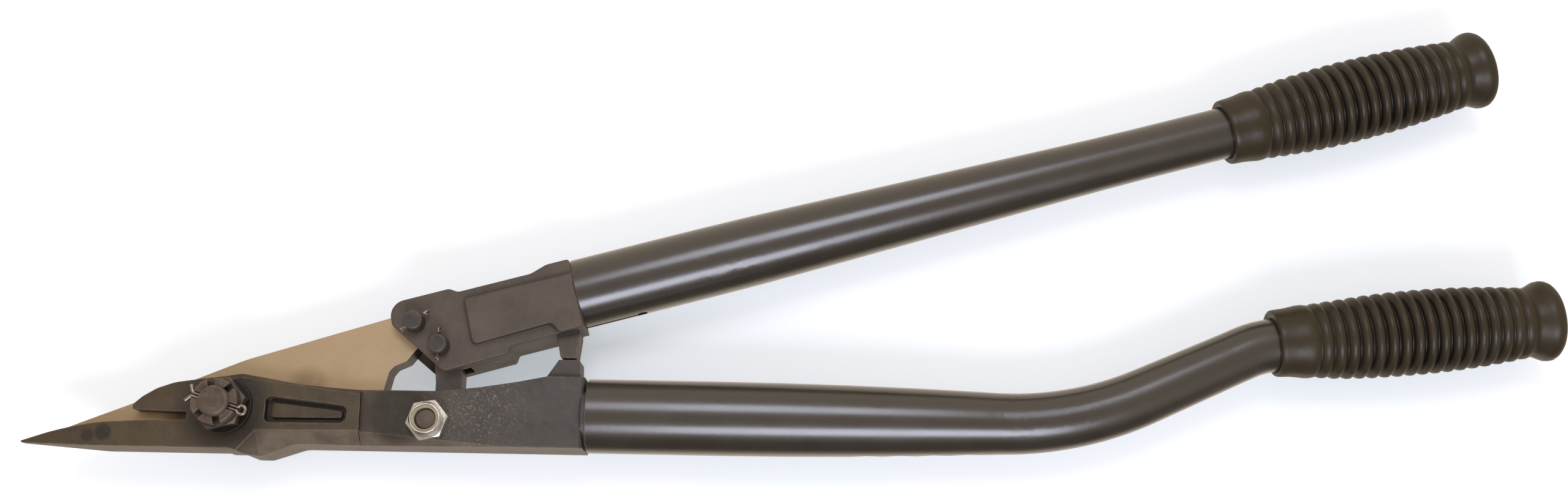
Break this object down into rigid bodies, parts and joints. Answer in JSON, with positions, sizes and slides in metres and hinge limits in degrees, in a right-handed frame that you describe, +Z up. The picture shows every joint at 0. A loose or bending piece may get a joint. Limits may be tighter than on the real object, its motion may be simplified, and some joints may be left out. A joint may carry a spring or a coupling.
{
  "type": "metal shear",
  "caption": "Long-handled compound-lever shear for steel strapping: fixed lower jaw with strap finger, pivoting blade, toggle link and two tubular handles with ribbed rubber grips.",
  "frame": {"origin": "bottom centre of the closed tool's bounding box, with the tool lying on its back", "axes": "+X from the jaw tip towards the grips along the straight part of the lower handle, +Y from the lower handle towards the upper handle, +Z up, out of the side that carries the nuts"},
  "size_m": [0.712, 0.2194, 0.0551],
  "materials": {
    "frame_forging": "satin dark oxide forging, worn at the edges",
    "head_forging": "satin dark oxide forging, worn at the edges",
    "blade_steel": "satin tempered tool steel with a straw tint",
    "link_steel": "dark oxide plate",
    "tube_paint": "gloss dark paint",
    "grip_rubber": "semi-gloss moulded rubber",
    "dark_hardware": "black oxide",
    "zinc_nut": "bright zinc plate",
    "nylon": "soiled nylon",
    "clevis_pin_steel": "black oxide",
    "split_pin_steel": "dull bright wire"
  },
  "bodies": {
    "lower_lever": {"lower_frame": "frame_forging", "lower_handle_tube": "tube_paint", "lower_grip": "grip_rubber", "pivot_bolt": "dark_hardware", "pivot_washer": "dark_hardware", "pivot_rear_washer": "dark_hardware", "pivot_castle_nut": "dark_hardware", "pivot_cotter_pin": "split_pin_steel", "link_bolt": "dark_hardware", "link_rear_washer": "dark_hardware", "link_lock_nut": "zinc_nut", "lock_nut_nylon_ring": "nylon"},
    "link": {"toggle_link": "link_steel"},
    "upper_lever": {"upper_head": "head_forging", "upper_handle_tube": "tube_paint", "upper_grip": "grip_rubber", "blade_pin": "clevis_pin_steel", "blade_pin_cotter": "split_pin_steel", "link_pin": "clevis_pin_steel", "link_pin_cotter": "split_pin_steel"},
    "blade": {"shear_blade": "blade_steel"}
  },
  "joints": [
    {"name": "link_swing", "type": "hinge", "parent": "lower_lever", "child": "link", "pos_m": [-0.17031, -0.09343, 0.0236], "axis": [0, 0, 1], "range_deg": [-17, 0]},
    {"name": "handle_opening", "type": "hinge", "parent": "link", "child": "upper_lever", "pos_m": [-0.16731, -0.05863, 0.0236], "axis": [0, 0, 1], "range_deg": [0, 60]},
    {"name": "blade_opening", "type": "hinge", "parent": "lower_lever", "child": "blade", "pos_m": [-0.26431, -0.08843, 0.0236], "axis": [0, 0, 1], "range_deg": [-8.7, 0]}
  ],
  "couplings": [
    {"joint": "link_swing", "follows": "handle_opening", "ratio": -0.28},
    {"joint": "blade_opening", "follows": "handle_opening", "ratio": -0.1425}
  ]
}
